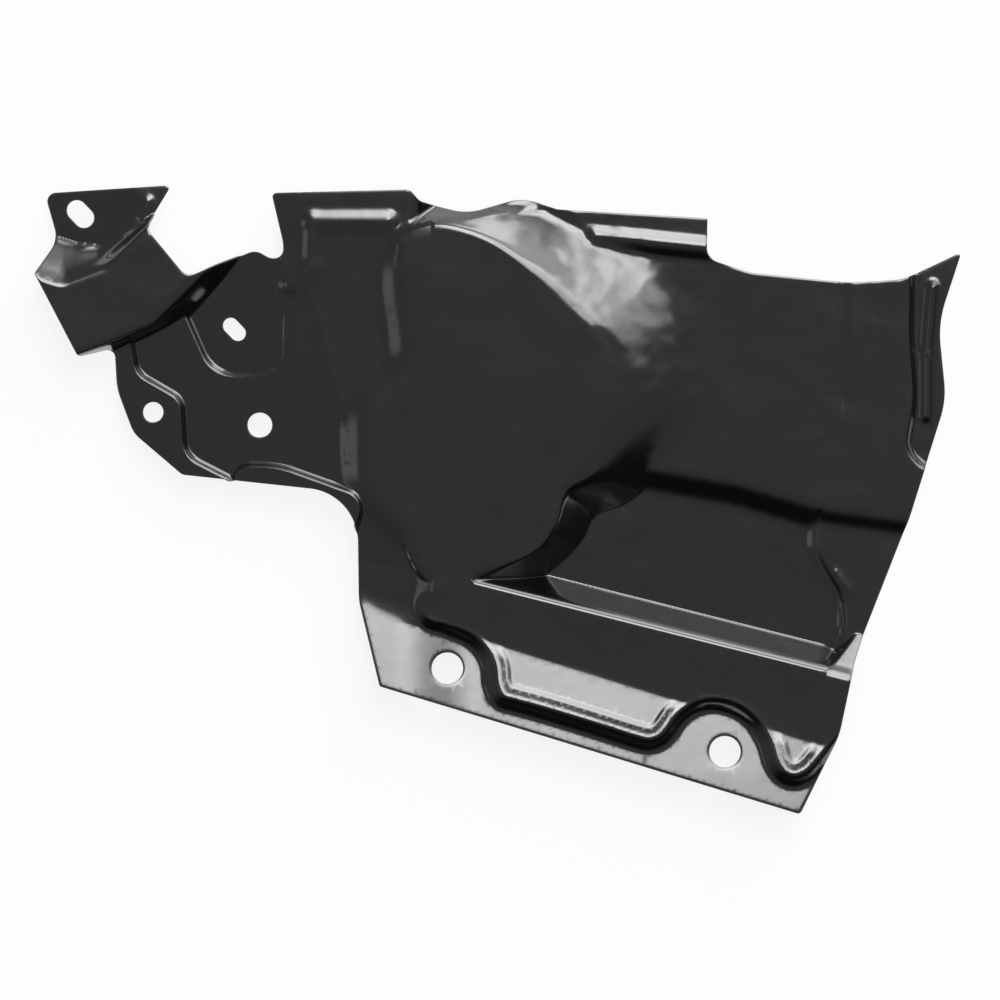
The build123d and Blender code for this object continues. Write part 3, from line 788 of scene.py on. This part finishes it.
def blackPaint():
    # Gloss black paint: a dark base under a clear coat, with fine orange peel and slow waves of the sheet.
    made = bpy.data.materials.new("gloss_black_paint")
    made.use_nodes = True
    tree = made.node_tree
    shader = tree.nodes["Principled BSDF"]
    place = Value(tree, tree.nodes.new("ShaderNodeTexCoord").outputs["Object"])
    fine = place.node("ShaderNodeTexNoise", None, Vector=place, Scale=paint["peelScale"], Detail=2.0)
    peel = Value(tree, fine.outputs["Fac"])
    slow = place.node("ShaderNodeTexNoise", None, Vector=place, Scale=paint["waveScale"], Detail=1.0)
    wave = Value(tree, slow.outputs["Fac"])
    spread = place.node("ShaderNodeTexNoise", None, Vector=place, Scale=paint["cloudScale"], Detail=4.0)
    cloud = Value(tree, spread.outputs["Fac"])
    short = place.node("ShaderNodeTexNoise", None, Vector=place, Scale=paint["rippleScale"], Detail=2.0)
    ripple = Value(tree, short.outputs["Fac"])
    height = peel * paint["peelHeight"] + wave * paint["waveHeight"] + ripple * paint["rippleHeight"]
    bump = place.node("ShaderNodeBump", None, Height=height, Distance=1.0, Strength=1.0)
    tree.links.new(bump.outputs["Normal"], shader.inputs["Normal"])
    edge = tree.nodes.new("ShaderNodeAttribute")
    edge.attribute_name = "thin_paint"
    thin = Value(tree, edge.outputs["Fac"]) * (cloud * paint["thinPatches"])
    thin = thin.maths("MINIMUM", thin, 1.0)
    # mottled, and duller where the paint is thin
    rough = (cloud - 0.5) * paint["cloudRoughness"] + paint["roughness"] + thin * paint["thinRoughness"]
    tree.links.new(rough.socket, shader.inputs["Roughness"])
    tint = place.node("ShaderNodeMix", {"data_type": "RGBA"},
                      i0=thin, i6=paint["colour"], i7=paint["thinColour"])
    tree.links.new(tint.outputs[2], shader.inputs["Base Color"])
    shader.inputs["Specular IOR Level"].default_value = paint["specular"]
    shader.inputs["Coat Weight"].default_value = paint["coat"]
    shader.inputs["Coat Roughness"].default_value = paint["coatRoughness"]
    shader.inputs["Coat IOR"].default_value = paint["coatIor"]
    return made


studio = {
    "floor": (0.90, 0.90, 0.90, 1.0),
    "floorHalf": 6.0,
    "floorWhite": 0.85,
    "floorDrop": 0.0002,
    "air": 0.20,
    "darkShare": 0.02,
    # sides where the air goes dark: azimuth from +X towards +Y, and the cosines of its start and end
    "darkSides": [(-100.0, 0.35, 0.85), (-48.0, 0.72, 0.95), (0.0, 0.84, 0.96)],
    # soft lights: azimuth, angle from straight up, half angles of the core and of the end, radiance
    "lights": [
        (46.0, 54.0, 4.0, 22.0, 1.7), (71.0, 34.0, 9.0, 18.0, 4.8), (88.0, 38.0, 6.0, 14.0, 2.0),
        (73.0, 20.0, 3.0, 8.0, 4.0), (66.0, 78.0, 5.0, 16.0, 4.0), (77.0, 72.0, 6.0, 26.0, 1.0),
        (180.0, 38.0, 3.0, 9.0, 0.5), (36.0, 43.0, 3.0, 16.0, 1.2), (58.0, 61.0, 5.0, 16.0, 0.8),
    ],
    # a lamp overhead that lights matt surfaces and isn't seen in the paint: height, width, radiance
    "overhead": (4.0, 2.4, 3.0),
}


def stageFloor():
    # A wide flat sheet under the cover, seen by the camera as white with the shadow kept.
    half = studio["floorHalf"]
    t = np.linspace(-half, half, 2)
    x, y = np.meshgrid(t, t)
    vertices = np.stack([x.ravel(), y.ravel(), np.full(4, -studio["floorDrop"])], 1)
    floor = meshObject("studio_floor", vertices, np.array([[0, 1, 3, 2]]))
    made = bpy.data.materials.new("pale_floor")
    made.use_nodes = True
    tree = made.node_tree
    shader = tree.nodes["Principled BSDF"]
    shader.inputs["Base Color"].default_value = studio["floor"]
    shader.inputs["Roughness"].default_value = 0.9
    shader.inputs["Specular IOR Level"].default_value = 0.0
    path = Value(tree, tree.nodes.new("ShaderNodeLightPath").outputs["Is Camera Ray"])
    glossy = Value(tree, path.socket.node.outputs["Is Glossy Ray"])
    through = Value(tree, path.socket.node.outputs["Is Transmission Ray"])
    seen = path.maths("MINIMUM", path + glossy + through, 1.0) * studio["floorWhite"]
    glow = path.node("ShaderNodeEmission", None, Color=(1, 1, 1, 1), Strength=1.0)
    mixed = path.node("ShaderNodeMixShader", None, i0=seen)
    tree.links.new(shader.outputs[0], mixed.inputs[1])
    tree.links.new(glow.outputs[0], mixed.inputs[2])
    tree.links.new(mixed.outputs[0], tree.nodes["Material Output"].inputs["Surface"])
    floor.data.materials.append(made)
    return floor


def studioLight():
    # A lamp overhead for the matt floor, and air that darkens on some sides and holds soft round lights.
    high, width, radiance = studio["overhead"]
    lamp = bpy.data.lights.new("overhead_lamp", "AREA")
    lamp.shape = "SQUARE"
    lamp.size = width
    lamp.energy = radiance * pi * width * width
    holder = bpy.data.objects.new("overhead_lamp", lamp)
    holder.location = (0.0, 0.0, high)
    holder.visible_glossy = False
    bpy.context.scene.collection.objects.link(holder)
    world = bpy.data.worlds.new("studio_air")
    world.use_nodes = True
    tree = world.node_tree
    look = Value(tree, tree.nodes.new("ShaderNodeTexCoord").outputs["Generated"])

    def towards(azimuth, zenith):
        a, z = radians(azimuth), radians(zenith)
        axis = (cos(a) * sin(z), sin(a) * sin(z), cos(z))
        along = look.node("ShaderNodeVectorMath", {"operation": "DOT_PRODUCT"}, i0=look, i1=axis)
        return Value(tree, along.outputs["Value"])

    def eased(value, start, end, low, high):
        fade = look.node("ShaderNodeMapRange", {"interpolation_type": "SMOOTHSTEP"}, Value=value,
                         From_Min=start, From_Max=end, To_Min=low, To_Max=high)
        return Value(tree, fade.outputs["Result"])

    level = studio["air"]
    for azimuth, start, end in studio["darkSides"]:
        level = level * eased(towards(azimuth, 90.0), start, end, 1.0, studio["darkShare"])
    for azimuth, zenith, core, reach, radiance in studio["lights"]:
        start, end = cos(radians(reach)), cos(radians(core))
        level = level + eased(towards(azimuth, zenith), start, end, 0.0, radiance)
    back = tree.nodes["Background"]
    back.inputs["Color"].default_value = (1.0, 1.0, 1.0, 1.0)
    tree.links.new(level.socket, back.inputs["Strength"])
    bpy.context.scene.world = world


camera = {"frame": 0.450, "distance": 2.4, "meanHeight": 0.012, "sensor": 36.0}


def overheadCamera():
    # A long lens straight over the cover, whose frame is 450 mm wide at the sheet's mean height.
    lens = bpy.data.cameras.new("overhead")
    lens.sensor_width = camera["sensor"]
    lens.lens = camera["sensor"] * camera["distance"] / camera["frame"]
    eye = bpy.data.objects.new("overhead", lens)
    eye.location = (plan["shift"][0] * mm, plan["shift"][1] * mm, camera["distance"] + camera["meanHeight"])
    bpy.context.scene.collection.objects.link(eye)
    bpy.context.scene.camera = eye


cover = meshObject("painted_cover", *pressedSheet())
thinPaint(cover)
cover.data.materials.append(blackPaint())
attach(cover, "root")
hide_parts("pressed_cover")
print("cover made", len(cover.data.polygons), "triangles")
stageFloor()
studioLight()
overheadCamera()
print("studio made")

bpy.context.scene.view_settings.view_transform = "Standard"
